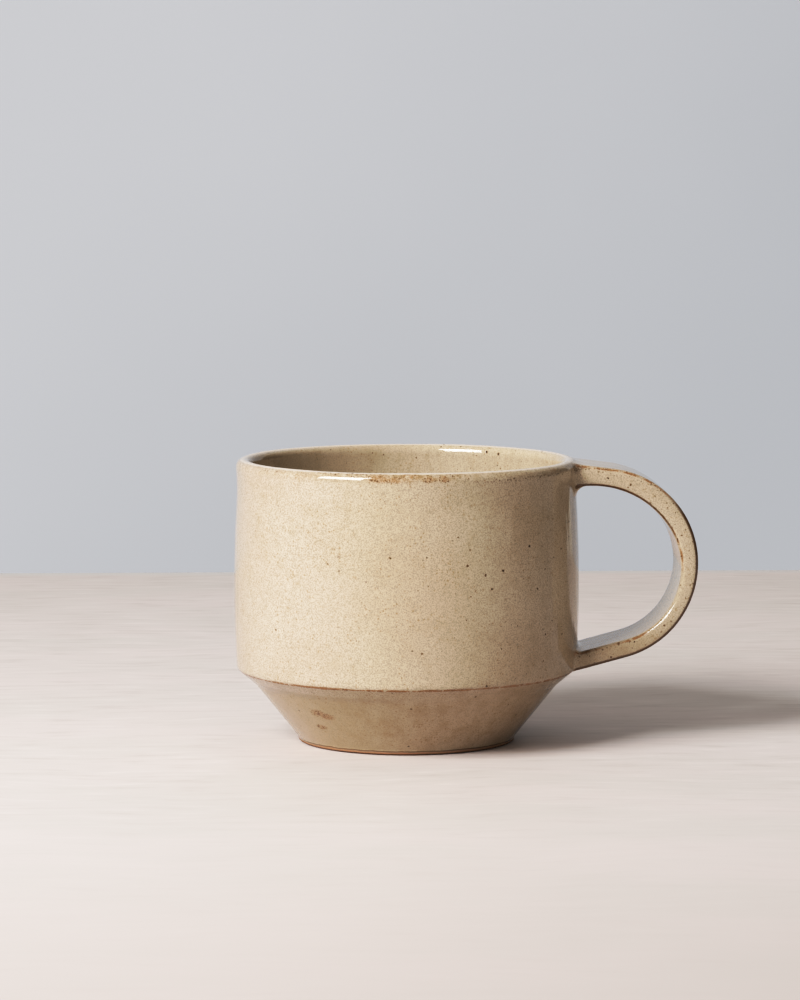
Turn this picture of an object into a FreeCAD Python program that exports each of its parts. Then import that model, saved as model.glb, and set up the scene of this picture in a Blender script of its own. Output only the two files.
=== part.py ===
import FreeCAD, Part
import Sketcher
import math
import os

# Stacking mug in glazed stoneware: a cup whose stepped cone foot nests in the rim of another
# one, with a flat strap handle. It is fired as one piece, so it is one solid.
# Millimetres. The origin is the centre of the foot on the table, +Z runs up through the mouth
# and the handle points along +X.

Vector = FreeCAD.Vector

# Driving sizes, in millimetres and degrees
SIZES = {
    # Cup
    "mug_height": 73.0,
    "body_diameter": 89.0,
    "wall_swell": 0.6,
    "rim_inset": 0.5,
    "neck_depth": 12.0,
    "wall_thickness": 4.2,
    # Foot and the ledge that rests on the rim below
    "shoulder_height": 19.0,
    "shoulder_round": 1.2,
    "ledge_rise": 4.0,
    "ledge_round": 2.0,
    "nest_clearance": 0.7,
    "foot_diameter": 56.0,
    "foot_band": 1.1,
    "foot_round": 0.35,
    # Inside
    "floor_thickness": 5.0,
    "floor_round": 8.0,
    "knee_round": 14.0,
    # Handle
    "handle_reach": 30.0,
    "handle_top_drop": 1.0,
    "handle_top_slope": 7.0,
    "handle_under_slope": 15.0,
    "root_thickness": 5.55,
    "strap_width": 22.0,
    "strap_thickness": 4.6,
    "strap_round": 1.2,
    "bend_drop": 0.95,
    "bend_angle": 60.0,
    "upper_join_round": 2.5,
    "lower_join_round": 1.0,
}

# Radii, heights and slopes that the outlines share, as expressions of the driving sizes
BODY_RADIUS = "(sizes.body_diameter / 2)"
WALL_END_RADIUS = f"({BODY_RADIUS} - sizes.wall_swell)"
RIM_RADIUS = f"({BODY_RADIUS} - sizes.rim_inset)"
INNER_RADIUS = f"({RIM_RADIUS} - sizes.wall_thickness)"
FOOT_RADIUS = "(sizes.foot_diameter / 2)"
CONE_RADIUS = f"({INNER_RADIUS} - sizes.nest_clearance)"
CONE_HEIGHT = "(sizes.shoulder_height - sizes.ledge_rise)"
NECK_HEIGHT = "(sizes.mug_height - sizes.neck_depth)"
LIP_ROUND = "(sizes.wall_thickness / 2)"
TOP_SLOPE = "(sizes.handle_top_slope * 1 deg)"
UNDER_SLOPE = "(sizes.handle_under_slope * 1 deg)"
HANDLE_TOP = "(sizes.mug_height - sizes.handle_top_drop)"
ROOF_HEIGHT = f"({HANDLE_TOP} - sizes.root_thickness)"
ROOT_RADIUS = f"({INNER_RADIUS} / 2)"
SEAT_RADIUS = f"({INNER_RADIUS} + sizes.wall_thickness / 2)"
REACH = f"({BODY_RADIUS} + sizes.handle_reach)"
GRIP_REACH = f"({REACH} - sizes.strap_thickness)"

# Two places closer than this are taken as the same
SAME = 0.01
# Largest share of the strap's thickness that one rounded edge may take
ROUND_SHARE = 0.45


def under_height(radius):
    """Height of the handle's straight underside at a distance from the mug's axis."""
    return f"(sizes.shoulder_height - tan({UNDER_SLOPE}) * ({WALL_END_RADIUS} - {radius}))"


def grip_height(radius):
    """Height of the finger gap's straight floor at a distance from the mug's axis."""
    return f"({under_height(radius)} + sizes.strap_thickness / cos({UNDER_SLOPE}))"


def fill_sheet(document):
    sheet = document.addObject("Spreadsheet::Sheet", "sizes")
    for row, (name, size) in enumerate(SIZES.items(), start=1):
        sheet.set(f"A{row}", name)
        sheet.set(f"B{row}", str(size))
        sheet.setAlias(f"B{row}", name)
    document.recompute()


def side_sketch(body, name):
    """An empty sketch in the XZ plane: across is the distance from the axis, up is the height."""
    sketch = body.newObject("Sketcher::SketchObject", name)
    plane = next(item for item in body.Origin.OriginFeatures if item.Role == "XZ_Plane")
    sketch.AttachmentSupport = [(plane, "")]
    sketch.MapMode = "FlatFace"
    return sketch


def number(thing, expression):
    return float(thing.evalExpression(expression))


def spots(sketch, places):
    """The points of named pairs of expressions."""
    found = {}
    for name, (across, up) in places.items():
        found[name] = Vector(number(sketch, across), number(sketch, up), 0)
    return found


def heading(sketch, degrees):
    """Unit vector at an angle from the across direction."""
    angle = math.radians(number(sketch, degrees))
    return Vector(math.cos(angle), math.sin(angle), 0)


def add_line(sketch, start, end):
    return sketch.addGeometry(Part.LineSegment(start, end), False)


def add_arc(sketch, first, middle, last):
    """An arc through three points given anticlockwise: its end 1 is first and its end 2 last."""
    return sketch.addGeometry(Part.Arc(first, middle, last), False)


def join(sketch, *ends):
    sketch.addConstraint(Sketcher.Constraint("Coincident", *ends))


def chain(sketch, *lines):
    """Joins the end of each line to the start of the next."""
    for before, after in zip(lines, lines[1:]):
        join(sketch, before, 2, after, 1)


def relate(sketch, kind, *where):
    """A constraint without a size, such as Tangent between two ends, Parallel or Horizontal."""
    sketch.addConstraint(Sketcher.Constraint(kind, *where))


def drive(sketch, name, expression, kind, *where):
    """A dimension that follows an expression."""
    value = number(sketch, expression)
    if kind == "Angle":
        value = math.radians(value)
        expression = f"({expression}) * 1 deg"
    index = sketch.addConstraint(Sketcher.Constraint(kind, *where, value))
    sketch.renameConstraint(index, name)
    sketch.setExpression(f"Constraints.{name}", expression)


def pin(sketch, places, name, geometry, end):
    """Holds an end of a line or arc, or an arc's centre, at its named place."""
    across, up = places[name]
    drive(sketch, f"{name}_across", across, "DistanceX", -1, 1, geometry, end)
    drive(sketch, f"{name}_up", up, "DistanceY", -1, 1, geometry, end)


def bend_guess(corner, before, after, radius):
    """Start, middle and end of the arc that rounds a corner between straight neighbours."""
    back = (before - corner).normalize()
    onward = (after - corner).normalize()
    half_angle = back.getAngle(onward) / 2
    reach = radius / math.tan(half_angle)
    inward = (back + onward).normalize()
    middle = corner + inward * (radius / math.sin(half_angle) - radius)
    return corner + back * reach, middle, corner + onward * reach


def add_rounding(sketch, name, before, after, guess, hollow=False):
    """Rounds the corner between the end of one line and the start of the next, with the radius of
    the same name. A hollow rounding runs clockwise along the outline."""
    start, middle, end = guess
    if hollow:
        bend = add_arc(sketch, end, middle, start)
        relate(sketch, "Tangent", before, 2, bend, 2)
        relate(sketch, "Tangent", bend, 1, after, 1)
    else:
        bend = add_arc(sketch, start, middle, end)
        relate(sketch, "Tangent", before, 2, bend, 1)
        relate(sketch, "Tangent", bend, 2, after, 1)
    drive(sketch, name, f"sizes.{name}", "Radius", bend)


def hold_corner(sketch, places, name, before, after):
    """Makes two lines aim at the named place where they would meet without their rounding."""
    start = spots(sketch, {name: places[name]})[name]
    corner = sketch.addGeometry(Part.Point(start), True)
    pin(sketch, places, name, corner, 1)
    relate(sketch, "PointOnObject", corner, 1, before)
    relate(sketch, "PointOnObject", corner, 1, after)


def draw_cup(body):
    """Half section of the cup: foot, cone, ledge, swelling wall and round lip, then the straight
    inner wall, an inner cone that keeps the wall's thickness, and the floor."""
    sketch = side_sketch(body, "cup_outline")
    places = {
        "bottom": ("0", "0"),
        "foot": (FOOT_RADIUS, "0"),
        "band": (FOOT_RADIUS, "sizes.foot_band"),
        "cone": (CONE_RADIUS, CONE_HEIGHT),
        "shoulder": (WALL_END_RADIUS, "sizes.shoulder_height"),
        "belly": (BODY_RADIUS, f"(sizes.shoulder_height + {NECK_HEIGHT}) / 2"),
        "neck": (WALL_END_RADIUS, NECK_HEIGHT),
        "rim": (RIM_RADIUS, f"sizes.mug_height - {LIP_ROUND}"),
        "lip_centre": (f"{RIM_RADIUS} - {LIP_ROUND}", f"sizes.mug_height - {LIP_ROUND}"),
        "crest": (f"{RIM_RADIUS} - {LIP_ROUND}", "sizes.mug_height"),
        "mouth": (INNER_RADIUS, f"sizes.mug_height - {LIP_ROUND}"),
        "floor": ("0", "sizes.floor_thickness"),
    }
    at = spots(sketch, places)

    # First guesses for the points that the constraints find
    waist = (at["neck"] + at["rim"]) / 2
    waist.x = at["neck"].x - (at["belly"].x - at["neck"].x) / 2
    knee = Vector(at["mouth"].x, at["cone"].y + at["floor"].y, 0)
    floor_edge = Vector(at["band"].x, at["floor"].y, 0)
    corners = {
        "foot_round": (at["foot"], at["bottom"], at["band"]),
        "ledge_round": (at["cone"], at["band"], at["shoulder"]),
        "shoulder_round": (at["shoulder"], at["cone"], at["belly"]),
        "knee_round": (knee, at["mouth"], floor_edge),
        "floor_round": (floor_edge, knee, at["floor"]),
    }
    bends = {}
    for name, corner in corners.items():
        bends[name] = bend_guess(*corner, number(sketch, f"sizes.{name}"))
    foot_start, _, foot_end = bends["foot_round"]
    ledge_start, _, ledge_end = bends["ledge_round"]
    shoulder_start, _, shoulder_end = bends["shoulder_round"]
    knee_start, _, knee_end = bends["knee_round"]
    floor_start, _, floor_end = bends["floor_round"]

    base = add_line(sketch, at["bottom"], foot_start)
    band = add_line(sketch, foot_end, at["band"])
    cone = add_line(sketch, at["band"], ledge_start)
    ledge = add_line(sketch, ledge_end, shoulder_start)
    wall = add_arc(sketch, shoulder_end, at["belly"], at["neck"])
    flare = add_arc(sketch, at["rim"], waist, at["neck"])
    lip = add_arc(sketch, at["rim"], at["crest"], at["mouth"])
    side = add_line(sketch, at["mouth"], knee_start)
    inner_cone = add_line(sketch, knee_end, floor_start)
    floor = add_line(sketch, floor_end, at["floor"])
    axis = add_line(sketch, at["floor"], at["bottom"])

    add_rounding(sketch, "foot_round", base, band, bends["foot_round"])
    chain(sketch, band, cone)
    add_rounding(sketch, "ledge_round", cone, ledge, bends["ledge_round"], hollow=True)
    add_rounding(sketch, "shoulder_round", ledge, wall, bends["shoulder_round"])
    relate(sketch, "Tangent", wall, 2, flare, 2)
    relate(sketch, "Tangent", flare, 1, lip, 1)
    chain(sketch, lip, side)
    add_rounding(sketch, "knee_round", side, inner_cone, bends["knee_round"], hollow=True)
    add_rounding(sketch, "floor_round", inner_cone, floor, bends["floor_round"], hollow=True)
    chain(sketch, floor, axis, base)

    pin(sketch, places, "bottom", base, 1)
    hold_corner(sketch, places, "foot", base, band)
    pin(sketch, places, "band", band, 2)
    hold_corner(sketch, places, "cone", cone, ledge)
    hold_corner(sketch, places, "shoulder", ledge, wall)
    pin(sketch, places, "neck", wall, 2)
    pin(sketch, places, "lip_centre", lip, 3)
    pin(sketch, places, "mouth", lip, 2)
    pin(sketch, places, "floor", floor, 2)
    relate(sketch, "Vertical", side)
    relate(sketch, "Parallel", inner_cone, cone)
    relate(sketch, "Horizontal", floor)
    drive(sketch, "cone_wall", "sizes.wall_thickness", "Distance", inner_cone, 1, cone)
    # The wall's arc rises by the swell over a chord from the shoulder to the neck
    chord = f"({NECK_HEIGHT} - sizes.shoulder_height)"
    wall_arc = f"({chord} ^ 2 / 4 + sizes.wall_swell ^ 2) / (2 * sizes.wall_swell)"
    drive(sketch, "wall_arc", wall_arc, "Radius", wall)
    return sketch


def draw_handle(body):
    """Side outline of the handle. Outside it runs straight from the rim into one round bend and
    straight back to the shoulder. The finger gap has a flatter upper bend, so that the strap is
    thicker there. The outline starts halfway to the axis, and is cut off inside the wall later."""
    sketch = side_sketch(body, "handle_outline")
    root_rise = f"tan({TOP_SLOPE}) * ({RIM_RADIUS} - {ROOT_RADIUS})"
    places = {
        "top_root": (ROOT_RADIUS, f"{HANDLE_TOP} + {root_rise}"),
        "roof_root": (ROOT_RADIUS, ROOF_HEIGHT),
        "floor_root": (ROOT_RADIUS, grip_height(ROOT_RADIUS)),
        "under_root": (ROOT_RADIUS, under_height(ROOT_RADIUS)),
        "reach_low": (REACH, "sizes.shoulder_height"),
        "reach_high": (REACH, HANDLE_TOP),
        "grip_low": (GRIP_REACH, grip_height(WALL_END_RADIUS)),
        "grip_high": (GRIP_REACH, ROOF_HEIGHT),
    }
    at = spots(sketch, places)

    # First guesses for the bends, a little under half as large as the handle is high
    bend_share = 0.47
    grip_share = 0.45
    bend_size = (at["reach_high"].y - at["reach_low"].y) * bend_share
    bend_centre = Vector(at["reach_high"].x - bend_size, at["reach_high"].y - bend_size, 0)
    grip_size = (at["grip_high"].y - at["grip_low"].y) * grip_share
    grip_centre = Vector(at["grip_high"].x - grip_size, bend_centre.y, 0)
    right = heading(sketch, "0")
    steep_down = heading(sketch, "sizes.handle_under_slope - 90")
    steep_up = heading(sketch, "90 - sizes.handle_top_slope")
    half_up = heading(sketch, "90 - sizes.bend_angle")
    top_end = bend_centre + steep_up * bend_size
    under_end = bend_centre + steep_down * bend_size
    roof_end = Vector(grip_centre.x, at["roof_root"].y, 0)
    floor_end = grip_centre + steep_down * grip_size
    meet = grip_centre + half_up * grip_size

    top_run = add_line(sketch, at["top_root"], top_end)
    bend = add_arc(sketch, under_end, bend_centre + right * bend_size, top_end)
    under_run = add_line(sketch, under_end, at["under_root"])
    low_root = add_line(sketch, at["under_root"], at["floor_root"])
    floor_run = add_line(sketch, at["floor_root"], floor_end)
    grip_side = add_arc(sketch, floor_end, grip_centre + right * grip_size, meet)
    grip_bend = add_arc(sketch, meet, (meet + roof_end) / 2 + half_up, roof_end)
    roof_run = add_line(sketch, roof_end, at["roof_root"])
    high_root = add_line(sketch, at["roof_root"], at["top_root"])
    reach_line = add_line(sketch, at["reach_low"], at["reach_high"])
    grip_line = add_line(sketch, at["grip_low"], at["grip_high"])
    spoke = add_line(sketch, grip_centre, meet)
    for guide in (reach_line, grip_line, spoke):
        sketch.setConstruction(guide, True)

    chain(sketch, roof_run, high_root, top_run)
    relate(sketch, "Tangent", top_run, 2, bend, 2)
    relate(sketch, "Tangent", bend, 1, under_run, 1)
    chain(sketch, under_run, low_root, floor_run)
    relate(sketch, "Tangent", floor_run, 2, grip_side, 1)
    relate(sketch, "Tangent", grip_side, 2, grip_bend, 1)
    relate(sketch, "Tangent", grip_bend, 2, roof_run, 1)
    relate(sketch, "Tangent", bend, reach_line)
    relate(sketch, "Tangent", grip_side, grip_line)
    relate(sketch, "Parallel", floor_run, under_run)
    relate(sketch, "Horizontal", roof_run)
    join(sketch, spoke, 1, grip_side, 3)
    join(sketch, spoke, 2, grip_side, 2)
    pin(sketch, places, "top_root", top_run, 1)
    pin(sketch, places, "roof_root", roof_run, 2)
    pin(sketch, places, "floor_root", floor_run, 1)
    pin(sketch, places, "under_root", under_run, 2)
    pin(sketch, places, "reach_low", reach_line, 1)
    pin(sketch, places, "reach_high", reach_line, 2)
    pin(sketch, places, "grip_low", grip_line, 1)
    pin(sketch, places, "grip_high", grip_line, 2)
    drive(sketch, "top_angle", "-sizes.handle_top_slope", "Angle", -1, 1, top_run, 1)
    drive(sketch, "under_angle", "180 + sizes.handle_under_slope", "Angle", -1, 1, under_run, 1)
    drive(sketch, "bend_drop", "sizes.bend_drop", "DistanceY", grip_side, 3, bend, 3)
    drive(sketch, "bend_angle", "90 - sizes.bend_angle", "Angle", -1, 1, spoke, 1)
    return sketch


def draw_trim(body):
    """Half section of the round space that the strap is cut off from: up to mid wall, from the
    table to well above the lip."""
    sketch = side_sketch(body, "trim_outline")
    places = {
        "low_axis": ("0", "0"),
        "low_seat": (SEAT_RADIUS, "0"),
        "high_seat": (SEAT_RADIUS, "2 * sizes.mug_height"),
        "high_axis": ("0", "2 * sizes.mug_height"),
    }
    at = spots(sketch, places)
    corners = list(at.values())
    sides = [add_line(sketch, *ends) for ends in zip(corners, corners[1:] + corners[:1])]
    chain(sketch, *sides, sides[0])
    for name, side in zip(places, sides):
        pin(sketch, places, name, side, 1)
    return sketch


def nearest_edge(feature, across, up):
    """Name of the edge whose middle lies nearest to a point a quarter of the strap's width in
    front of the XZ plane."""
    aside = number(feature, "-sizes.strap_width / 4")
    point = Vector(number(feature, across), aside, number(feature, up))
    gaps = []
    for index, edge in enumerate(feature.Shape.Edges, start=1):
        middle = edge.valueAt((edge.FirstParameter + edge.LastParameter) / 2)
        gaps.append(((middle - point).Length, f"Edge{index}"))
    return min(gaps)[1]


def round_edges(body, name, edges, radius):
    """Rounds edges of the body's latest feature, with a radius that follows an expression."""
    base = body.Tip
    feature = body.newObject("PartDesign::Fillet", name)
    feature.Base = (base, edges)
    feature.setExpression("Radius", radius)
    body.Document.recompute()


def turn(body, kind, name, outline):
    """Revolves an outline a full turn about the mug's axis."""
    feature = body.newObject(kind, name)
    feature.Profile = outline
    feature.ReferenceAxis = (outline, ["V_Axis"])
    feature.Angle = 360
    body.Document.recompute()
    return feature


def build_handle(document):
    """The strap on its own, with its long edges rounded, cut off inside the cup's wall."""
    handle = document.addObject("PartDesign::Body", "handle")
    outline = draw_handle(handle)
    strap = handle.newObject("PartDesign::Pad", "strap")
    strap.Profile = outline
    strap.SideType = "Symmetric"
    strap.setExpression("Length", "sizes.strap_width")
    document.recompute()
    root = number(strap, ROOT_RADIUS)
    long_edges = []
    for index, edge in enumerate(strap.Shape.Edges, start=1):
        box = edge.BoundBox
        if box.YLength < SAME and box.XMax > root + SAME:
            long_edges.append(f"Edge{index}")
    strap_round = f"min(sizes.strap_round; {ROUND_SHARE} * sizes.strap_thickness)"
    round_edges(handle, "strap_rounding", long_edges, strap_round)
    whole = handle.Tip.Shape.Volume
    trim = turn(handle, "PartDesign::Groove", "trim", draw_trim(handle))
    if trim.Shape.Volume >= whole:
        raise RuntimeError("the strap was not cut off inside the wall")
    return handle


def join_handle(mug, handle):
    joined = mug.newObject("PartDesign::Boolean", "joined")
    joined.setObjects([handle])
    joined.Type = "Fuse"
    mug.Document.recompute()


def soften_joins(mug):
    """Rounds the whole line where each end of the handle meets the wall."""
    upper = nearest_edge(mug.Tip, WALL_END_RADIUS, ROOF_HEIGHT)
    round_edges(mug, "upper_join", [upper], "sizes.upper_join_round")
    lower = nearest_edge(mug.Tip, WALL_END_RADIUS, grip_height(WALL_END_RADIUS))
    round_edges(mug, "lower_join", [lower], "sizes.lower_join_round")


def check(document, mug):
    for item in document.Objects:
        if "Invalid" in item.State or "Error" in item.State:
            raise RuntimeError(f"{item.Label} did not compute: {item.State}")
    for item in document.Objects:
        if item.isDerivedFrom("Sketcher::SketchObject") and item.solve() != 0:
            raise RuntimeError(f"{item.Label} has no solution")
    shape = mug.Shape
    if shape.isNull() or not shape.isValid() or len(shape.Solids) != 1:
        raise RuntimeError(f"{mug.Label} is not one valid solid")


def main():
    document = FreeCAD.newDocument("stacking_mug")
    fill_sheet(document)
    mug = document.addObject("PartDesign::Body", "mug")
    mug.Label = "mug"
    turn(mug, "PartDesign::Revolution", "cup", draw_cup(mug))
    join_handle(mug, build_handle(document))
    soften_joins(mug)
    document.recompute()
    check(document, mug)
    os.makedirs("parts", exist_ok=True)
    mug.Shape.exportStep(f"parts/{mug.Label}.step")
    volume = mug.Shape.Volume / 1000
    print(f"{mug.Label}: {volume:.1f} cubic centimetres, {len(mug.Shape.Faces)} faces")


main()
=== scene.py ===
import math

import bpy
import numpy as np
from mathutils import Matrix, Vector


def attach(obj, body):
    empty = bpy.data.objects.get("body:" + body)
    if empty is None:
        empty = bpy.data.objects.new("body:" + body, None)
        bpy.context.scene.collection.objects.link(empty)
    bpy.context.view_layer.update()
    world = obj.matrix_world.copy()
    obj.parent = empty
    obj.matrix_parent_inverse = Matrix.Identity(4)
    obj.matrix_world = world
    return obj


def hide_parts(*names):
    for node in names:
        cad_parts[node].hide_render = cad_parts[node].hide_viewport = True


# Stacking mug in speckled oatmeal glaze, on a pale table in soft light.
# The mug's surface is worked out in millimetres and the scene is in metres.

MM = 0.001

# Cup outline, in millimetres: heights and distances from the mug's axis
HEIGHT = 73.0
FOOT_RADIUS = 28.0
FOOT_BAND = 1.1
CONE_TOP = (39.1, 15.0)
SHOULDER = (43.9, 19.0)
BELLY = (44.5, 40.0)
NECK = (43.9, 61.0)
RIM_RADIUS = 44.0
WALL = 4.2
FLOOR = 5.0
FOOT_ROUND = 0.75
BAND_ROUND = 0.6
LEDGE_ROUND = 2.0
SHOULDER_ROUND = 1.2
KNEE_ROUND = 14.0
FLOOR_ROUND = 8.0

# Handle outline: the outer bend, and the finger gap's upper and side bends
STRAP_HALF_WIDTH = 11.0
STRAP_ROUND = 1.2
TOP_SLOPE = 7.0
UNDER_SLOPE = 15.0
OUTER_BEND = (49.65, 46.27, 24.85)
GAP_TOP_BEND = (47.22, 43.20, 23.25)
GAP_SIDE_BEND = (50.89, 45.32, 19.01)
BEND_MEETS = 30.0
UPPER_JOIN = 3.3
LOWER_JOIN = 1.0
JOIN_SPLIT_HEIGHT = 45.0

# Size of the mesh's cells, and depth of the hand-made surface's waves
VOXEL = 0.82
WAVE_DEPTH = 0.14


# Outlines as lines and arcs, each with its distance and outward direction


def unit(vector):
    return vector / np.linalg.norm(vector)


class Line:
    """A straight stretch of outline, with the material on its left."""

    def __init__(self, start, end):
        self.start = np.array(start, float)
        self.along = unit(np.array(end, float) - self.start)
        self.length = float(np.linalg.norm(np.array(end, float) - self.start))
        self.out = np.array((self.along[1], -self.along[0]))

    def measure(self, across, up):
        x = across - self.start[0]
        z = up - self.start[1]
        t = np.clip(x * self.along[0] + z * self.along[1], 0, self.length)
        dx = x - t * self.along[0]
        dz = z - t * self.along[1]
        side = dx * self.out[0] + dz * self.out[1]
        gap = np.hypot(dx, dz)
        ends = gap > np.abs(side) + 1e-9
        sign = np.where(side < 0, -1.0, 1.0)
        safe = np.maximum(gap, 1e-12)
        nx = np.where(ends, sign * dx / safe, self.out[0])
        nz = np.where(ends, sign * dz / safe, self.out[1])
        return np.where(ends, sign * gap, side), nx, nz


class Arc:
    """A round stretch from one angle to another. A hollow one has its material outside."""

    def __init__(self, centre, radius, low, high, hollow=False):
        self.centre = centre
        self.radius = radius
        self.middle = (low + high) / 2
        self.reach = (high - low) / 2 + 1e-6
        self.sign = -1.0 if hollow else 1.0

    def measure(self, across, up):
        x = across - self.centre[0]
        z = up - self.centre[1]
        gap = np.hypot(x, z)
        turn = (np.arctan2(z, x) - self.middle + math.pi) % (2 * math.pi) - math.pi
        safe = np.maximum(gap, 1e-9)
        away = np.where(np.abs(turn) <= self.reach, 0.0, 1e6)
        distance = self.sign * (gap - self.radius + away)
        return distance, self.sign * x / safe, self.sign * z / safe


def nearest(parts, across, up):
    """Signed distance and outward direction of the nearest part of an outline."""
    best, best_x, best_z = parts[0].measure(across, up)
    for part in parts[1:]:
        distance, nx, nz = part.measure(across, up)
        closer = np.abs(distance) < np.abs(best)
        best = np.where(closer, distance, best)
        best_x = np.where(closer, nx, best_x)
        best_z = np.where(closer, nz, best_z)
    return best, best_x, best_z


def bend(corner, before, after, radius):
    """The arc that rounds a corner, with its first and last point."""
    corner, before, after = (np.array(point, float) for point in (corner, before, after))
    back = unit(before - corner)
    onward = unit(after - corner)
    half = math.acos(float(np.clip(back @ onward, -1, 1))) / 2
    first = corner + back * radius / math.tan(half)
    last = corner + onward * radius / math.tan(half)
    centre = corner + unit(back + onward) * radius / math.sin(half)
    hollow = back[0] * onward[1] - back[1] * onward[0] > 0
    low, high = (math.atan2(*(point - centre)[::-1]) for point in (first, last))
    if hollow:
        low, high = high, low
    if high < low:
        high += 2 * math.pi
    return Arc(centre, radius, low, high, hollow), first, last


def circle_through(a, b, c):
    """Centre and radius of the circle through three points."""
    (ax, az), (bx, bz), (cx, cz) = a, b, c
    d = 2 * (ax * (bz - cz) + bx * (cz - az) + cx * (az - bz))
    sa, sb, sc = ax ** 2 + az ** 2, bx ** 2 + bz ** 2, cx ** 2 + cz ** 2
    x = (sa * (bz - cz) + sb * (cz - az) + sc * (az - bz)) / d
    z = (sa * (cx - bx) + sb * (ax - cx) + sc * (bx - ax)) / d
    return np.array((x, z)), math.hypot(ax - x, az - z)


def cup_outline():
    lip_radius = WALL / 2
    lip_centre = np.array((RIM_RADIUS - lip_radius, HEIGHT - lip_radius))
    inner = RIM_RADIUS - WALL
    foot = (FOOT_RADIUS, 0.0)
    band = (FOOT_RADIUS, FOOT_BAND)

    # The wall swells to the belly; above the neck it is drawn in a little and flares to the lip
    wall_centre, wall_radius = circle_through(SHOULDER, BELLY, NECK)
    low_angle = -0.05
    above_shoulder = wall_centre + wall_radius * np.array((math.cos(low_angle), math.sin(low_angle)))
    shoulder_arc = bend(SHOULDER, CONE_TOP, above_shoulder, SHOULDER_ROUND)
    shoulder_bend, shoulder_first, shoulder_last = shoulder_arc
    outward = unit(np.array(NECK) - wall_centre)
    gap = lip_centre - np.array(NECK)
    # The flare touches the wall's arc at the neck and the lip's arc
    flare_radius = (gap @ gap - lip_radius ** 2) / (2 * (gap @ outward + lip_radius))
    flare_centre = np.array(NECK) + outward * flare_radius
    to_lip = lip_centre - flare_centre
    lip_low = math.atan2(-to_lip[1], -to_lip[0])
    flare_high = math.atan2(-outward[1], -outward[0]) % (2 * math.pi)
    flare_low = math.atan2(to_lip[1], to_lip[0]) % (2 * math.pi)

    # Inside, the cone runs one wall away from the outer one
    cone = unit(np.array(CONE_TOP) - np.array(band))
    inward = np.array((-cone[1], cone[0]))
    on_inner_cone = np.array(band) + inward * WALL
    knee = on_inner_cone + cone * (inner - on_inner_cone[0]) / cone[0]
    floor_edge = on_inner_cone + cone * (FLOOR - on_inner_cone[1]) / cone[1]
    mouth = (inner, HEIGHT - lip_radius)

    foot_bend, foot_first, foot_last = bend(foot, (0, 0), band, FOOT_ROUND)
    band_bend, band_first, band_last = bend(band, foot, CONE_TOP, BAND_ROUND)
    ledge_bend, ledge_first, ledge_last = bend(CONE_TOP, band, SHOULDER, LEDGE_ROUND)
    knee_bend, knee_first, knee_last = bend(knee, mouth, floor_edge, KNEE_ROUND)
    floor_bend, floor_first, floor_last = bend(floor_edge, knee, (0, FLOOR), FLOOR_ROUND)
    wall_low = math.atan2(shoulder_last[1] - wall_centre[1], shoulder_last[0] - wall_centre[0])
    return [
        Line((0, 0), foot_first),
        foot_bend,
        Line(foot_last, band_first),
        band_bend,
        Line(band_last, ledge_first),
        ledge_bend,
        Line(ledge_last, shoulder_first),
        shoulder_bend,
        Arc(wall_centre, wall_radius, wall_low, math.atan2(outward[1], outward[0])),
        Arc(flare_centre, flare_radius, flare_low, flare_high, hollow=True),
        Arc(lip_centre, lip_radius, lip_low, math.pi),
        Line(mouth, knee_first),
        knee_bend,
        Line(knee_last, floor_first),
        floor_bend,
        Line(floor_last, (0, FLOOR)),
    ]


def strap_outlines():
    """The strap's outside, and the finger gap as a region of its own."""
    top = math.radians(TOP_SLOPE)
    under = math.radians(UNDER_SLOPE)
    meets = math.radians(BEND_MEETS)
    run = 60.0

    def rim_of(bend_circle, angle):
        x, z, radius = bend_circle
        return np.array((x + radius * math.cos(angle), z + radius * math.sin(angle)))

    top_end = rim_of(OUTER_BEND, math.pi / 2 - top)
    under_end = rim_of(OUTER_BEND, under - math.pi / 2)
    back_up = np.array((-math.cos(top), math.sin(top)))
    back_down = np.array((-math.cos(under), -math.sin(under)))
    outside = [
        Line(under_end + back_down * run, under_end),
        Arc(OUTER_BEND[:2], OUTER_BEND[2], under - math.pi / 2, math.pi / 2 - top),
        Line(top_end, top_end + back_up * run),
    ]
    roof_end = rim_of(GAP_TOP_BEND, math.pi / 2)
    floor_end = rim_of(GAP_SIDE_BEND, under - math.pi / 2)
    gap = [
        Line(floor_end + back_down * run, floor_end),
        Arc(GAP_SIDE_BEND[:2], GAP_SIDE_BEND[2], under - math.pi / 2, meets),
        Arc(GAP_TOP_BEND[:2], GAP_TOP_BEND[2], meets, math.pi / 2),
        Line(roof_end, roof_end + np.array((-run, 0.0))),
    ]
    return outside, gap


CUP = cup_outline()
STRAP, GAP = strap_outlines()


def cup_field(p):
    """Signed distance to the cup's surface and its direction, at points in millimetres."""
    r = np.hypot(p[:, 0], p[:, 1])
    distance, n_r, n_z = nearest(CUP, r, p[:, 2])
    safe = np.maximum(r, 1e-9)
    normal = np.stack((n_r * p[:, 0] / safe, n_r * p[:, 1] / safe, n_z), axis=1)
    return distance, normal


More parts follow.
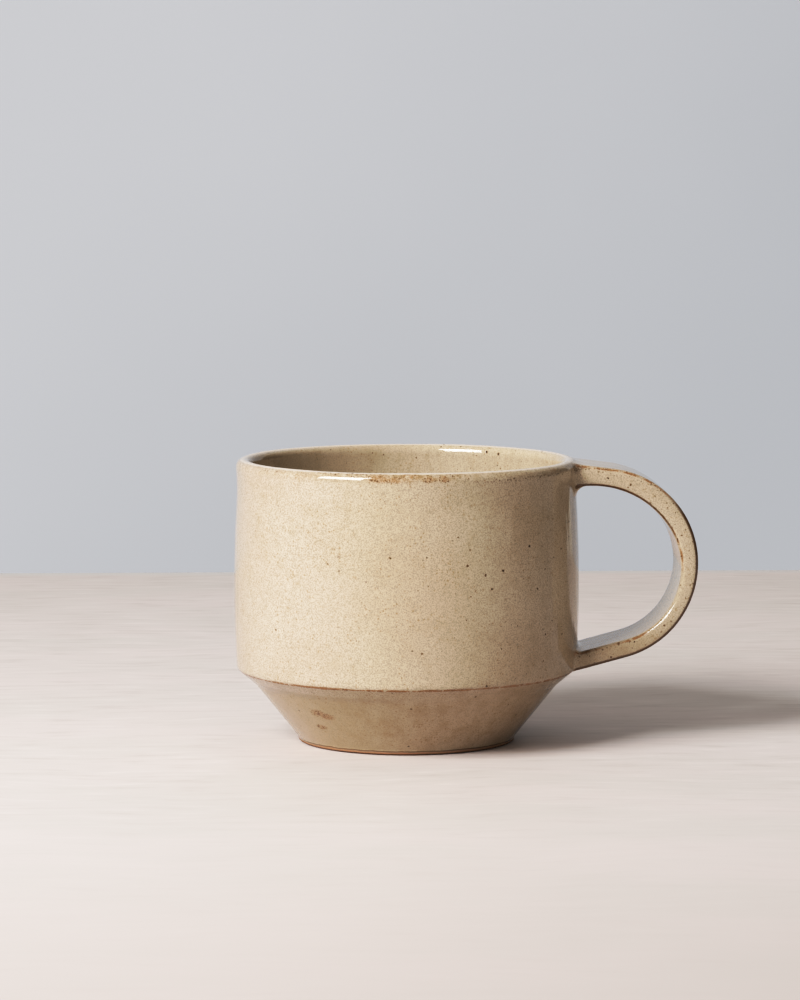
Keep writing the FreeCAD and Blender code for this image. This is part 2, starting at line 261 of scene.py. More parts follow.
def strap_field(p):
    """Signed distance to the strap's surface and its direction."""
    outer, ox, oz = nearest(STRAP, p[:, 0], p[:, 2])
    gap, gx, gz = nearest(GAP, p[:, 0], p[:, 2])
    in_gap = -gap > outer
    side = np.where(in_gap, -gap, outer)
    sx = np.where(in_gap, -gx, ox)
    sz = np.where(in_gap, -gz, oz)
    # Flat sides with rounded long edges
    a = side + STRAP_ROUND
    b = np.abs(p[:, 1]) - (STRAP_HALF_WIDTH - STRAP_ROUND)
    a_out, b_out = np.maximum(a, 0), np.maximum(b, 0)
    length = np.hypot(a_out, b_out)
    distance = np.minimum(np.maximum(a, b), 0) + length - STRAP_ROUND
    safe = np.maximum(length, 1e-9)
    share_a = np.where(length > 0, a_out / safe, (a > b).astype(float))
    share_b = np.where(length > 0, b_out / safe, (a <= b).astype(float))
    normal = np.stack((share_a * sx, share_b * np.sign(p[:, 1]), share_a * sz), axis=1)
    return distance, normal


def mug_field(p):
    """Signed distance to the whole mug, with the strap rolled into the wall by a round fillet."""
    cup, cup_normal = cup_field(p)
    strap, strap_normal = strap_field(p)
    strap_closer = strap < cup
    distance = np.where(strap_closer, strap, cup)
    normal = np.where(strap_closer[:, None], strap_normal, cup_normal)

    radius = np.where(p[:, 2] > JOIN_SPLIT_HEIGHT, UPPER_JOIN, LOWER_JOIN)
    cosine = np.sum(cup_normal * strap_normal, axis=1)
    u = radius - cup
    v = radius - strap
    sine = np.maximum(1 - cosine ** 2, 1e-9)
    share_u = (u - v * cosine) / sine
    share_v = (v - u * cosine) / sine
    rolled = (share_u > 0) & (share_v > 0) & (u > 0) & (v > 0)
    reach = np.sqrt(np.maximum((u * u + v * v - 2 * u * v * cosine) / sine, 1e-12))
    blend_normal = (share_u[:, None] * cup_normal + share_v[:, None] * strap_normal) / reach[:, None]
    distance = np.where(rolled, radius - reach, distance)
    normal = np.where(rolled[:, None], blend_normal, normal)

    # The inner wall, the lip's inner half and the far side belong to the cup alone
    cup_only = (np.hypot(p[:, 0], p[:, 1]) < RIM_RADIUS - WALL / 2) | (p[:, 0] < 0)
    distance = np.where(cup_only, cup, distance)
    normal = np.where(cup_only[:, None], cup_normal, normal)
    return distance, normal


# Mesh


def settle(p, steps=4):
    """Moves points onto the mug's surface."""
    for _ in range(steps):
        distance, normal = mug_field(p)
        p = p - distance[:, None] * normal
    return p


def even_out(p, edges, rounds=12):
    """Spreads points evenly over the surface."""
    degree = np.bincount(edges.ravel(), minlength=len(p)).astype(float)
    for _ in range(rounds):
        total = np.zeros_like(p)
        for axis in range(3):
            total[:, axis] = np.bincount(edges[:, 0], p[edges[:, 1], axis], len(p))
            total[:, axis] += np.bincount(edges[:, 1], p[edges[:, 0], axis], len(p))
        shift = total / degree[:, None] - p
        _, normal = mug_field(p)
        shift -= np.sum(shift * normal, axis=1)[:, None] * normal
        p = settle(p + 0.6 * shift, 2)
    return p


def voxel_copy(source):
    """An even mesh of the CAD solid's shape."""
    mesh = source.data.copy()
    piece = bpy.data.objects.new("mug_glazed", mesh)
    bpy.context.scene.collection.objects.link(piece)
    weld = piece.modifiers.new("weld", "WELD")
    weld.merge_threshold = 1e-6
    remesh = piece.modifiers.new("remesh", "REMESH")
    remesh.mode = "VOXEL"
    remesh.voxel_size = VOXEL * MM
    graph = bpy.context.evaluated_depsgraph_get()
    even = bpy.data.meshes.new_from_object(piece.evaluated_get(graph))
    piece.modifiers.clear()
    piece.data = even
    even.materials.clear()
    return piece


def make_mug(source):
    piece = voxel_copy(source)
    mesh = piece.data
    p = np.zeros(len(mesh.vertices) * 3)
    mesh.vertices.foreach_get("co", p)
    p = p.reshape(-1, 3) / MM
    edges = np.zeros(len(mesh.edges) * 2, int)
    mesh.edges.foreach_get("vertices", edges)
    p = settle(p, 8)
    p = even_out(p, edges.reshape(-1, 2))
    keep_measures(mesh, p)
    _, normal = mug_field(p)
    p = p - (WAVE_DEPTH * waviness(p))[:, None] * normal
    mesh.vertices.foreach_set("co", (p * MM).ravel())
    mesh.shade_smooth()
    mesh.update()
    return piece


def waviness(p):
    """How far the hand-made surface lies under its ideal form, from 0 to 1."""
    angle = np.arctan2(p[:, 1], p[:, 0])
    z = p[:, 2]
    waves = np.sin(5 * angle + 0.06 * z + 1.0) + 0.8 * np.sin(9 * angle - 0.11 * z + 2.0)
    waves += 0.35 * np.sin(31 * angle + 0.16 * z) + 0.3 * np.sin(0.62 * z + 3 * angle)
    waves += 0.2 * np.sin(67 * angle - 0.21 * z + 1.5 * np.sin(0.17 * z))
    return 0.5 + waves / 5.3


def keep_measures(mesh, p):
    """Keeps each point's distances from the strap's faces for the glaze to use."""
    cup, _ = cup_field(p)
    strap, _ = strap_field(p)
    outside, _, _ = nearest(STRAP, p[:, 0], p[:, 2])
    gap, _, _ = nearest(GAP, p[:, 0], p[:, 2])
    on_strap = np.clip(0.5 + (cup - strap) / 2, 0, 1)
    on_strap[p[:, 0] < 0] = 0
    for name, values in (("on_strap", on_strap), ("to_outside", outside), ("to_gap", gap)):
        layer = mesh.attributes.new(name, "FLOAT", "POINT")
        layer.data.foreach_set("value", values.astype(np.float32))


# Materials


class Recipe:
    """A material, with short calls that add its nodes.

    Places are in metres, and all other lengths are in millimetres.
    """

    # Dots: the power that makes large ones rare, and how soft their edges are
    RARITY = 2.5
    DOT_EDGE = 0.06

    def __init__(self, name):
        self.material = bpy.data.materials.new(name)
        self.material.use_nodes = True
        self.nodes = self.material.node_tree.nodes
        self.links = self.material.node_tree.links
        self.shader = self.nodes["Principled BSDF"]
        self.place = self.nodes.new("ShaderNodeTexCoord").outputs["Object"]
        self.rough_place = self.place

    def feed(self, socket, value):
        if isinstance(value, bpy.types.NodeSocket):
            self.links.new(value, socket)
        else:
            socket.default_value = value

    def math(self, operation, *values):
        node = self.nodes.new("ShaderNodeMath")
        node.operation = operation
        for socket, value in zip(node.inputs, values):
            self.feed(socket, value)
        return node.outputs[0]

    def times(self, *values):
        total = values[0]
        for value in values[1:]:
            total = self.math("MULTIPLY", total, value)
        return total

    def most(self, *values):
        top = values[0]
        for value in values[1:]:
            top = self.math("MAXIMUM", top, value)
        return top

    def length(self, first, second):
        """The length of a line with these two measures, square to each other."""
        return self.math("SQRT", self.math("ADD", self.times(first, first), self.times(second, second)))

    def axes(self):
        """The three coordinates in millimetres."""
        parts = self.nodes.new("ShaderNodeSeparateXYZ")
        self.feed(parts.inputs["Vector"], self.place)
        return [self.times(parts.outputs[axis], 1 / MM) for axis in "XYZ"]

    def step(self, value, nothing, full):
        """0 where the value is at nothing and 1 where it is at full, smooth between them."""
        node = self.nodes.new("ShaderNodeMapRange")
        node.interpolation_type = "SMOOTHSTEP"
        self.feed(node.inputs["Value"], value)
        self.feed(node.inputs["From Min"], nothing)
        self.feed(node.inputs["From Max"], full)
        return node.outputs["Result"]

    def band(self, value, middle, half_width, soft):
        """1 within half_width of the middle, falling to 0 over the soft width."""
        away = self.math("ABSOLUTE", self.math("SUBTRACT", value, middle))
        outer = self.math("ADD", half_width, soft)
        return self.step(away, outer, half_width)

    def noise(self, per_metre, detail=2.0, roughness=0.5, place=None):
        node = self.nodes.new("ShaderNodeTexNoise")
        self.feed(node.inputs["Vector"], place or self.place)
        node.inputs["Scale"].default_value = per_metre
        node.inputs["Detail"].default_value = detail
        node.inputs["Roughness"].default_value = roughness
        return node.outputs[0]

    def stretched(self, per_metre, detail, roughness, place=None):
        """Noise with its own number of waves in a metre along each axis."""
        place = self.vector("MULTIPLY", place or self.place, per_metre)
        return self.noise(1.0, detail, roughness, place)

    def dots(self, per_metre, small, large, share=1.0):
        """Round dots at random places, from small to large in radius."""
        cells = self.nodes.new("ShaderNodeTexVoronoi")
        self.feed(cells.inputs["Vector"], self.rough_place)
        cells.inputs["Scale"].default_value = per_metre
        chance = self.nodes.new("ShaderNodeSeparateColor")
        self.feed(chance.inputs["Color"], cells.outputs["Color"])
        size = self.math("POWER", chance.outputs["Red"], self.RARITY)
        radius = self.math("MULTIPLY_ADD", size, large - small, small)
        away = self.times(cells.outputs["Distance"], 1 / MM / per_metre)
        edge = self.math("SUBTRACT", away, radius)
        there = self.math("LESS_THAN", chance.outputs["Green"], share)
        return self.times(self.step(edge, self.DOT_EDGE, -self.DOT_EDGE), there)

    def vector(self, operation, first, second):
        node = self.nodes.new("ShaderNodeVectorMath")
        node.operation = operation
        self.feed(node.inputs[0], first)
        self.feed(node.inputs[1], second)
        return node.outputs["Value" if operation == "DOT_PRODUCT" else "Vector"]

    def roughen(self, per_metre, amount):
        """Gives marks ragged outlines: shifts their places by up to half the amount."""
        ragged = self.nodes.new("ShaderNodeTexNoise")
        self.feed(ragged.inputs["Vector"], self.place)
        ragged.inputs["Scale"].default_value = per_metre
        centred = self.vector("SUBTRACT", ragged.outputs["Color"], (0.5, 0.5, 0.5))
        shift = self.vector("MULTIPLY", centred, (amount * MM, amount * MM, amount * MM))
        self.rough_place = self.vector("ADD", self.place, shift)

    def near(self, spot, radius, soft, flat=1.0):
        """A mark around a place given in millimetres, lower than it is wide by the flat factor."""
        away = self.vector("SUBTRACT", self.rough_place, [length * MM for length in spot])
        away = self.vector("MULTIPLY", away, (1 / MM, 1 / MM, 1 / MM * flat))
        distance = self.math("SQRT", self.vector("DOT_PRODUCT", away, away))
        return self.step(distance, radius + soft, radius)

    def mix(self, share, first, second):
        node = self.nodes.new("ShaderNodeMix")
        node.data_type = "RGBA"
        self.feed(node.inputs["Factor"], share)
        for name, colour in (("A", first), ("B", second)):
            socket = next(s for s in node.inputs if s.name == name and s.type == "RGBA")
            self.feed(socket, colour if isinstance(colour, bpy.types.NodeSocket) else (*colour, 1.0))
        return next(s for s in node.outputs if s.type == "RGBA")

    def measure(self, name):
        """A length that make_mug kept on the mesh."""
        node = self.nodes.new("ShaderNodeAttribute")
        node.attribute_name = name
        return node.outputs["Fac"]

    def finish(self, colour, roughness, height=None):
        self.feed(self.shader.inputs["Base Color"], colour)
        self.feed(self.shader.inputs["Roughness"], roughness)
        if height is not None:
            bump = self.nodes.new("ShaderNodeBump")
            bump.inputs["Distance"].default_value = MM
            self.feed(bump.inputs["Height"], height)
            self.feed(self.shader.inputs["Normal"], bump.outputs["Normal"])
        return self.material


# The glaze's colours and the bare clay's; the pale one is a painted highlight, and the burnt brown also
# paints shadow under the foot
CREST_HIGHLIGHT = (0.560, 0.480, 0.400)
CREAM = (0.500, 0.414, 0.328)
OATMEAL = (0.470, 0.377, 0.294)
OLIVE = (0.290, 0.222, 0.132)
AMBER = (0.325, 0.245, 0.095)
GREY = (0.243, 0.200, 0.143)
OCHRE = (0.235, 0.150, 0.070)
RUST = (0.250, 0.105, 0.028)
BROWN = (0.100, 0.052, 0.020)
# Burnt brown, also used for the painted contact shadow under the foot
BURNT_AND_SHADOW = (0.070, 0.031, 0.010)
IRON = (0.050, 0.024, 0.010)
CLAY = (0.30, 0.155, 0.085)

# Dark iron spots that stand out, in millimetres: place and radius
IRON_SPOTS = (
    ((-33.8, -28.6, 32.3), 0.28),
    ((19.7, -39.7, 43.7), 0.38),
    ((17.5, -40.7, 43.7), 0.20),
    ((15.5, -41.5, 43.5), 0.22),
    ((22.6, -38.1, 48.2), 0.36),
    ((34.3, -28.1, 55.6), 0.28),
    ((14.3, -41.9, 53.8), 0.26),
    ((18.4, -40.3, 59.3), 0.22),
    ((25.2, -36.4, 62.6), 0.30),
    ((-5.7, -43.9, 52.1), 0.32),
    ((-19.9, -39.6, 54.0), 0.26),
    ((-14.3, -41.9, 60.5), 0.26),
    ((-4.2, -44.1, 65.8), 0.24),
    ((-21.0, -39.0, 50.1), 0.22),
    ((-17.3, -40.2, 18.7), 0.42),
    ((18.6, -39.8, 19.4), 0.34),
    ((22.4, 32.9, 71.5), 0.46),
    ((25.4, 30.7, 71.1), 0.42),
    ((51.8, -11.0, 70.7), 0.32),
    ((54.2, -11.0, 70.5), 0.30),
    ((52.0, -11.0, 25.4), 0.35),
    ((53.5, -11.0, 25.9), 0.28),
    ((-24.1, -32.3, 16.6), 0.34),
    ((-23.4, -32.5, 16.3), 0.28),
    ((-28.1, -22.0, 10.7), 0.28),
)

# Rust marks, in millimetres: place, radius, and how much lower than wide
RUST_MARKS = (
    ((-8.6, -43.3, 71.7), 4.4, 2.8),
    ((-4.6, -43.9, 71.3), 2.8, 2.4),
    ((4.0, -44.1, 71.5), 2.4, 2.0),
    ((7.8, -43.5, 71.6), 2.2, 1.7),
    ((-23.4, -26.9, 10.9), 3.2, 2.2),
    ((-21.2, -28.2, 10.1), 3.2, 2.6),
    ((-22.3, -23.8, 6.8), 2.4, 2.6),
)

# Marks of burnt glaze at the handle's joins, written as the rust marks are
BURNT_MARKS = (
    ((43.2, -11.4, 71.6), 2.6, 1.2),
    ((45.5, -11.0, 24.8), 2.0, 1.0),
    ((45.8, -11.2, 57.6), 1.6, 0.8),
)


class Glaze(Recipe):
    """Speckled oatmeal glaze that thins to rust on edges, over bare clay at the foot."""

    def __init__(self):
        super().__init__("speckled_glaze")
        self.roughen(2400.0, 0.5)
        self.x, self.y, self.z = self.axes()
        self.radius = self.length(self.x, self.y)
        self.on_cup = self.math("SUBTRACT", 1.0, self.measure("on_strap"))
        # Painted shade: 0 on the left, where the key light falls, rising to 1 at the middle and
        # rightwards
        self.shaded_side = self.step(self.x, -32.0, -4.0)
        under_shoulder = self.step(self.z, SHOULDER[1] - 0.1, SHOULDER[1] - 0.7)
        self.cone = self.times(under_shoulder, self.step(self.radius, 25.0, 27.0), self.on_cup)
        self.wisps = self.noise(260.0, 3.0, 0.6)
        self.crumbs = self.noise(800.0, 2.0)
        self.grain = self.noise(3300.0, 1.0, 0.6)
        self.wander = self.math("MULTIPLY_ADD", self.noise(150.0, 4.0, 0.7), 2.4, -0.7)

    def ground(self):
        """Cream to oatmeal with fine grain and olive streaks inside. Painted shade makes it yellower on
        the right half, away from the key light, and inside, and browner inside on the left.
        """
        colour = self.mix(self.step(self.noise(38.0, 3.0), 0.35, 0.65), CREAM, OATMEAL)
        inside = self.step(self.radius, 41.0, 40.0)
        # Painted shade: yellower on the right half and inside
        shade_tint = self.most(self.times(self.shaded_side, 0.22), self.times(inside, 0.20))
        colour = self.mix(shade_tint, colour, AMBER)
        colour = self.mix(self.times(self.step(self.wisps, 0.45, 0.8), 0.28), colour, OLIVE)
        # Painted shade: browner inside on the left, in the lip's shadow
        shaded = self.times(inside, self.step(self.x, 6.0, -20.0), 0.36)
        colour = self.mix(shaded, colour, OCHRE)
        streaks = self.stretched((450.0, 450.0, 120.0), 3.0, 0.6)
        colour = self.mix(self.times(inside, self.step(streaks, 0.48, 0.72), 0.40), colour, OLIVE)
        grain_share = self.math("MULTIPLY_ADD", inside, -0.20, 0.76)
        return self.mix(self.times(self.step(self.grain, 0.40, 0.68), grain_share), colour, GREY)

    def flecks(self, colour):
        """Tan flecks that gather in patches."""
        gathered = self.step(self.noise(95.0, 2.0), 0.25, 0.7)
        fine = self.times(self.dots(1500.0, 0.05, 0.26), self.math("MULTIPLY_ADD", gathered, 0.5, 0.2))
        coarse = self.times(self.dots(780.0, 0.06, 0.36, 0.5), gathered, 0.6)
        return self.mix(self.most(fine, coarse), colour, OCHRE)

    def browned_and_shaded(self, colour):
        """Darker and browner on the cone, more on its right half as painted shade; on the strap's lower
        end, a browner glaze with painted shade; and on the lower right wall, painted shade.
        """
        # The browner colour, used for browner glaze and for painted shade
        thin = self.mix(self.math("MULTIPLY_ADD", self.wisps, 0.9, 0.08), colour, OCHRE)
        # The cone darkens more on its right half, away from the key light, as painted shade
        on_cone = self.times(self.cone, self.math("MULTIPLY_ADD", self.shaded_side, 0.58, 0.17))
        # Browner glaze and painted shade on the strap's lower end
        low_strap = self.times(self.measure("on_strap"), self.step(self.z, 34.0, 24.0), 0.55)
        # Painted shade on the lower right wall
        low_wall_shade = self.times(self.step(self.z, 40.0, 24.0), self.step(self.x, 5.0, 28.0))
        low_wall_shade = self.times(low_wall_shade, self.on_cup, 0.40)
        return self.mix(self.most(on_cone, low_strap, low_wall_shade), colour, thin)

    def rim_band(self):
        """The lip's outer half, strongest under its crest and at the front."""
        rising = self.step(self.z, HEIGHT - 3.0, HEIGHT - 0.7)
        face = self.times(rising, self.step(self.z, HEIGHT - 0.15, HEIGHT - 0.35))
        front = self.times(self.band(self.x, -4.0, 10.0, 16.0), self.step(self.y, 0.0, -10.0))
        strength = self.math("MULTIPLY_ADD", front, 0.55, 0.45)
        return self.times(face, self.step(self.radius, 41.9, 42.7), self.on_cup, strength)

    def strap_lines(self):
        """Rust and burnt lines along the strap's four long edges."""
        side = self.math("SUBTRACT", self.math("ABSOLUTE", self.y), STRAP_HALF_WIDTH)
        outer = self.length(side, self.measure("to_outside"))
        inner = self.length(side, self.measure("to_gap"))
        off_rim = self.step(self.radius, 43.4, 44.6)
        reach = self.math("MULTIPLY_ADD", self.wander, 0.28, 0.46)
        # Round the gap, the line fades out at the right and comes back in patches below
        upper_gap = self.step(self.z, 43.5, 46.5)
        lower_gap = self.times(self.step(self.z, 32.0, 29.0), self.step(self.wander, 0.2, 0.6))
        outer_line = self.step(self.math("SUBTRACT", outer, reach), 0.22, -0.10)
        inner_line = self.step(self.math("SUBTRACT", inner, reach), 0.24, -0.10)
        inner_line = self.times(inner_line, self.most(upper_gap, lower_gap))
        rust = self.times(self.most(outer_line, inner_line), off_rim)
        low_outer = self.times(self.step(self.z, 66.0, 58.0), self.step(outer, 1.0, 0.7))
        high_inner = self.times(self.step(self.z, 50.0, 57.0), self.step(inner, 0.80, 0.56))
        burnt = self.times(self.most(low_outer, high_inner), self.step(self.wander, -0.6, 0.4), off_rim)
        dusted = self.times(self.step(self.math("MINIMUM", outer, inner), 2.2, 0.7), off_rim)
        return rust, burnt, dusted

    def marks(self, places):
        """Marks with soft outlines, worn through in small streaks."""
        soft = [self.near(place, size * 0.3, size * 0.7, flat) for place, size, flat in places]
        shape = self.most(*soft)
        streaks = self.step(self.noise(2300.0, 3.0, 0.75), 0.40, 0.60)
        return self.times(shape, self.math("MULTIPLY_ADD", streaks, 0.70, 0.30))

    def stained_rim_and_highlight(self, colour, rim):
        """Tan on the lip's outer half, and a painted highlight along its crest."""
        tint = self.math("MULTIPLY_ADD", self.step(self.crumbs, 0.35, 0.65), 0.50, 0.10)
        colour = self.mix(self.times(rim, tint), colour, OCHRE)
        # Painted highlight: a pale line along the lip's crest
        crest = self.step(self.z, HEIGHT - 0.45, HEIGHT - 0.2)
        crest = self.times(crest, self.step(self.radius, 40.4, 41.3))
        return self.mix(self.times(crest, 0.85), colour, CREST_HIGHLIGHT)

    def rust_share(self, rim, strap, marks):
        """How rusty the glaze is: on the strap's and shoulder's lines, the rim and the marks."""
        line_width = self.math("MULTIPLY_ADD", self.wander, 0.36, -0.03)
        shoulder = self.band(self.z, SHOULDER[1] - 0.25, line_width, 0.20)
        shoulder = self.times(shoulder, self.step(self.radius, 42.3, 42.8), self.on_cup)
        rust = self.times(self.most(strap, shoulder), self.step(self.crumbs, 0.28, 0.52))
        rim_rust = self.times(rim, self.step(self.wander, 0.45, 1.2))
        rim_rust = self.times(rim_rust, self.step(self.crumbs, 0.30, 0.55), 0.7)
        return self.most(rust, rim_rust, self.times(marks, 0.75))

    def edge_dots(self, colour, rust, rim, dusted, marks):
        """Brown dots near the edges, crowded on the rim and the marks and under the rim at the right."""
        near_edges = self.most(rust, self.times(rim, 0.9), self.times(dusted, 0.7))
        crumbs = self.times(self.dots(1000.0, 0.10, 0.30, 0.8), self.step(near_edges, 0.1, 0.7))
        colour = self.mix(self.times(crumbs, 0.85), colour, BROWN)
        under_rim = self.band(self.z, HEIGHT - 2.2, 0.2, 0.5)
        under_rim = self.times(under_rim, self.step(self.radius, 42.8, 43.3))
        under_rim = self.times(under_rim, self.step(self.x, 8.0, 22.0), self.step(self.y, 0.0, -6.0), 0.8)
        crowded = self.most(self.step(marks, 0.05, 0.30), self.times(rim, 0.6), under_rim)
        crumbs = self.times(self.dots(1600.0, 0.17, 0.34, 0.85), crowded, 0.9)
        return self.mix(crumbs, colour, BROWN)

    def edges(self, colour):
        """Rim, shoulder and strap edges, where the glaze runs thin, with a painted highlight on the lip's
        crest. Gives the colour and the rust.
        """
        rim = self.rim_band()
        strap, burnt, dusted = self.strap_lines()
        marks = self.marks(RUST_MARKS)
        rust = self.rust_share(rim, strap, marks)
        colour = self.stained_rim_and_highlight(colour, rim)
        colour = self.mix(self.times(rust, 0.85), colour, RUST)
        colour = self.mix(self.times(rust, self.step(self.grain, 0.35, 0.6), 0.45), colour, BROWN)
        colour = self.edge_dots(colour, rust, rim, dusted, marks)
        burnt = self.times(self.most(burnt, self.marks(BURNT_MARKS)), 0.85)
        return self.mix(burnt, colour, BURNT_AND_SHADOW), rust

    def spots(self, colour):
        """Iron spots: many small brown ones, fewer dark ones, and those that stand out."""
        # They are denser towards the handle
        share = self.math("MULTIPLY_ADD", self.step(self.x, -30.0, 15.0), 0.55, 0.40)
        colour = self.mix(self.times(self.dots(440.0, 0.13, 0.34, 0.6), share), colour, BROWN)
        on_strap = self.math("SUBTRACT", 1.0, self.on_cup)
        colour = self.mix(self.times(self.dots(800.0, 0.10, 0.30, 0.4), on_strap, 0.7), colour, BROWN)
        scattered = self.times(self.dots(270.0, 0.12, 0.36, 0.6), share)
        halo = self.most(*(self.near(place, size * 0.8, 0.35) for place, size in IRON_SPOTS))
        placed = self.most(*(self.near(place, size * 0.45, size * 0.6) for place, size in IRON_SPOTS))
        colour = self.mix(self.times(halo, 0.45), colour, OCHRE)
        iron = self.most(scattered, placed)
        return self.mix(iron, colour, IRON), iron

    def foot(self, colour):
        """Bare clay at the foot, under a dark line where the glaze ends, with painted contact shadow on
        the clay's lowest edge.
        """
        level = self.math("MULTIPLY_ADD", self.wisps, 0.40, 0.62)
        above_clay = self.math("SUBTRACT", self.z, level)
        clay = self.step(above_clay, 0.06, -0.06)
        colour = self.mix(self.times(self.band(above_clay, 0.20, 0.10, 0.18), 0.75), colour, BURNT_AND_SHADOW)
        clay_colour = self.mix(self.times(self.step(self.crumbs, 0.4, 0.7), 0.5), CLAY, OCHRE)
        # Painted contact shadow: the clay's lowest edge darkens where the foot meets the table
        contact_shadow = self.times(self.step(self.z, 0.5, 0.3), self.step(self.radius, 26.5, 27.5), 0.85)
        clay_colour = self.mix(contact_shadow, clay_colour, BURNT_AND_SHADOW)
        return self.mix(clay, colour, clay_colour), clay

    def surface(self, iron, clay):
        """Height of the glaze's skin: gentle waves, runs beside the handle, and rough clay."""
        peel = self.math("MULTIPLY_ADD", self.noise(420.0, 2.0), 0.014, self.times(self.wisps, 0.03))
        runs = self.stretched((480.0, 480.0, 50.0), 2.0, 0.5)
        below_rim = self.step(self.z, HEIGHT - 3.0, HEIGHT - 7.0)
        runs = self.times(runs, below_rim, self.step(self.x, 20.0, 40.0), self.on_cup, 0.12)
        rough_clay = self.times(clay, self.noise(3000.0, 3.0), 0.10)
        height = self.math("ADD", self.math("ADD", peel, runs), rough_clay)
        return self.math("MULTIPLY_ADD", iron, -0.010, height)

    def make(self):
        colour = self.browned_and_shaded(self.flecks(self.ground()))
        colour, rust = self.edges(colour)
        colour, iron = self.spots(colour)
        colour, clay = self.foot(colour)
        gloss = self.math("MULTIPLY_ADD", self.grain, 0.03, 0.02)
        gloss = self.math("MULTIPLY_ADD", rust, 0.12, gloss)
        gloss = self.math("MULTIPLY_ADD", self.cone, 0.10, gloss)
        roughness = self.math("MAXIMUM", gloss, self.times(clay, 0.85))
        return self.finish(colour, roughness, self.surface(iron, clay))


# The stage's colours
BOARDS = ((0.575, 0.522, 0.492), (0.615, 0.542, 0.518))
BOARD_GRAIN = ((0.500, 0.440, 0.412), (0.665, 0.598, 0.570))
# Painted shade: the boards' darker colour at the front
BOARD_FRONT_SHADE = (0.530, 0.460, 0.430)
BOARD_EDGE = (0.560, 0.540, 0.530)
# The backdrop's paint, also the colour of its glow, which is painted light
PAINT_AND_GLOW = ((0.384, 0.402, 0.438), (0.512, 0.528, 0.570))
RIGHT_END_GLOW = (0.66, 0.65, 0.61)
PAINT_GLOW = 0.62
CLOTH = ((0.085, 0.075, 0.065), (0.125, 0.110, 0.095))


def table_material():
    """Limewashed boards: pale, with faint wavy grain that is worn smooth at the front, and darker towards
    the front as painted shade.
    """
    m = Recipe("table_top")
    m.roughen(14.0, 24.0)
    _, depth, _ = m.axes()
    grain = m.stretched((48.0, 240.0, 1.0), 4.0, 0.6, m.rough_place)
    clouds = m.stretched((10.0, 24.0, 1.0), 3.0, 0.5, m.rough_place)
    worn = m.math("MULTIPLY_ADD", m.step(depth, -40.0, -180.0), -0.65, 0.95)
    colour = m.mix(m.step(clouds, 0.30, 0.70), *BOARDS)
    colour = m.mix(m.times(m.step(grain, 0.50, 0.78), worn), colour, BOARD_GRAIN[0])
    colour = m.mix(m.times(m.step(grain, 0.50, 0.22), worn), colour, BOARD_GRAIN[1])
    # Painted shade: darker towards the front, where the key light falls off
    colour = m.mix(m.times(m.step(depth, -120.0, -280.0), 0.55), colour, BOARD_FRONT_SHADE)
    # The far edge fades into the backdrop
    colour = m.mix(m.step(depth, 352.0, 366.0), colour, BOARD_EDGE)
    return m.finish(colour, 0.6, m.times(grain, 0.02))


def backdrop_material():
    """A grey-blue painted backdrop that glows as painted light, brighter to the left and higher up."""
    m = Recipe("backdrop")
    x, _, z = m.axes()
    # Painted light: the glow brightens to the left and upwards
    across = m.math("MULTIPLY_ADD", x, -0.0014, 0.5)
    across = m.math("MULTIPLY_ADD", z, 0.0014, across)
    across = m.math("MULTIPLY_ADD", m.math("SUBTRACT", m.noise(3.0, 3.0), 0.5), 0.3, across)
    colour = m.mix(m.step(across, -0.2, 1.2), *PAINT_AND_GLOW)
    # Its right end, out of the picture, glows brighter as painted light and shows in the glaze
    colour = m.mix(m.step(x, 1350.0, 1500.0), colour, RIGHT_END_GLOW)
    m.feed(m.shader.inputs["Emission Color"], colour)
    m.shader.inputs["Emission Strength"].default_value = PAINT_GLOW
    return m.finish(colour, 0.9)


def flag_material():
    """A dark cloth that keeps light off the right."""
    m = Recipe("flag_cloth")
    weave = m.noise(300.0, 2.0)
    colour = m.mix(weave, *CLOTH)
    return m.finish(colour, 0.9, m.times(weave, 0.2))


# Stage: table, backdrop, lights and camera

# Corners, places and the light's size are in metres, its power in watts and its spread in degrees
TABLE = ((-1.2, -1.2, -0.03), (1.2, 0.365, 0.0))
BACK_WALL = ((-3.0, 1.9, -2.0), (1.75, 1.92, 3.0))
FLAG = ((1.75, -0.6, -0.03), (1.77, 1.92, 1.3))

KEY_PLACE = (-0.667, -0.58, 0.625)
KEY_TARGET = (-0.13, -0.03, 0.055)
KEY_SIZE = 0.53
KEY_POWER = 4.13
KEY_SPREAD = 84.0
FILL_COLOUR = (1.0, 0.935, 0.84)
FILL_STRENGTH = 0.35

EYE_PLACE = (-0.0380, -1.0447, 0.168)
EYE_PITCH = 0.101
EYE_TURN = math.radians(1.99)
LENS = 146.9
SENSOR_WIDTH = 36.0


def make_slab(name, low, high, material):
    """A flat box from one corner to the other."""
    (x0, y0, z0), (x1, y1, z1) = low, high
    corners = [(x, y, z) for x in (x0, x1) for y in (y0, y1) for z in (z0, z1)]
    faces = [(0, 1, 3, 2), (4, 6, 7, 5), (0, 4, 5, 1), (2, 3, 7, 6), (0, 2, 6, 4), (1, 5, 7, 3)]
    mesh = bpy.data.meshes.new(name)
    mesh.from_pydata(corners, [], faces)
    mesh.materials.append(material)
    slab = bpy.data.objects.new(name, mesh)
    bpy.context.scene.collection.objects.link(slab)


def make_stage():
    make_slab("table", *TABLE, table_material())
    make_slab("back_wall", *BACK_WALL, backdrop_material())
    make_slab("flag", *FLAG, flag_material())


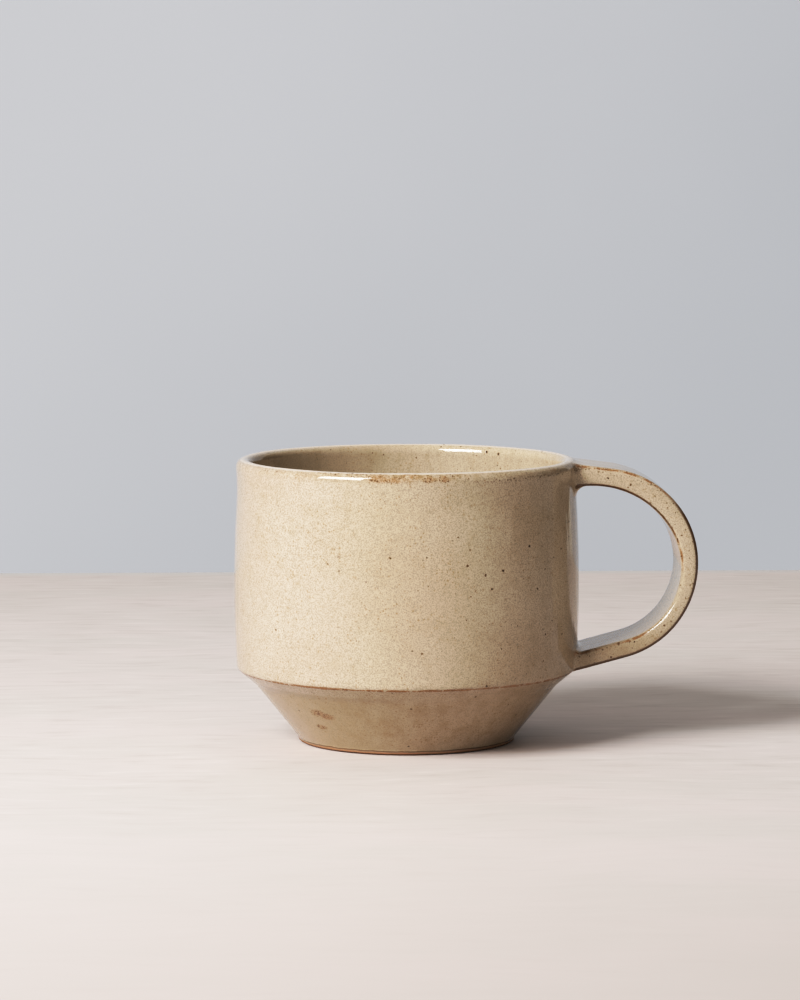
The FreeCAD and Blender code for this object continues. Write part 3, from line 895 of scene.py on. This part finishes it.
def make_key_light():
    """A softbox at the front left."""
    light = bpy.data.lights.new("key", "AREA")
    light.shape = "SQUARE"
    light.size = KEY_SIZE
    light.energy = KEY_POWER
    light.spread = math.radians(KEY_SPREAD)
    lamp = bpy.data.objects.new("key", light)
    lamp.location = KEY_PLACE
    aim = Vector(KEY_TARGET) - Vector(KEY_PLACE)
    lamp.rotation_euler = aim.to_track_quat("-Z", "Y").to_euler()
    bpy.context.scene.collection.objects.link(lamp)


def make_fill():
    """A weak warm light from all round."""
    world = bpy.data.worlds.new("studio")
    world.use_nodes = True
    background = world.node_tree.nodes["Background"]
    background.inputs["Color"].default_value = (*FILL_COLOUR, 1)
    background.inputs["Strength"].default_value = FILL_STRENGTH
    bpy.context.scene.world = world


def make_camera():
    """The photograph's view: 1.05 m away, a little above the rim, handle to the right."""
    camera = bpy.data.cameras.new("camera")
    camera.lens = LENS
    camera.sensor_width = SENSOR_WIDTH
    eye = bpy.data.objects.new("camera", camera)
    level = math.cos(EYE_PITCH)
    forward = Vector((level * math.sin(EYE_TURN), level * math.cos(EYE_TURN), -math.sin(EYE_PITCH)))
    eye.location = EYE_PLACE
    eye.rotation_euler = forward.to_track_quat("-Z", "Y").to_euler()
    bpy.context.scene.collection.objects.link(eye)
    bpy.context.scene.camera = eye


# How scene brightness shows: a photograph's dark toe and soft highlights
TONES = ((0.0, 0.0), (0.1, 0.081), (0.3, 0.354), (0.55, 0.662), (0.8, 0.850), (1.0, 0.930))


def set_tones():
    view = bpy.context.scene.view_settings
    view.view_transform = "Standard"
    view.use_curve_mapping = True
    points = view.curve_mapping.curves[3].points
    points[0].location = TONES[0]
    points[1].location = TONES[-1]
    for shown in TONES[1:-1]:
        points.new(*shown)
    view.curve_mapping.update()


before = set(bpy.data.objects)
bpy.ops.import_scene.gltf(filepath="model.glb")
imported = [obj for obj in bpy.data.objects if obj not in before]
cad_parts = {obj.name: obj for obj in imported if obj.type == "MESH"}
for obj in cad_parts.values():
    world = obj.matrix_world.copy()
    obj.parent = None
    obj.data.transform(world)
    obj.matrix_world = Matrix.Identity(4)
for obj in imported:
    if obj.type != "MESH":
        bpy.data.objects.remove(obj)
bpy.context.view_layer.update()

make_camera()
make_stage()
make_key_light()
make_fill()
mug = make_mug(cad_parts["mug"])
mug.data.materials.append(Glaze().make())
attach(mug, "root")
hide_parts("mug")
set_tones()
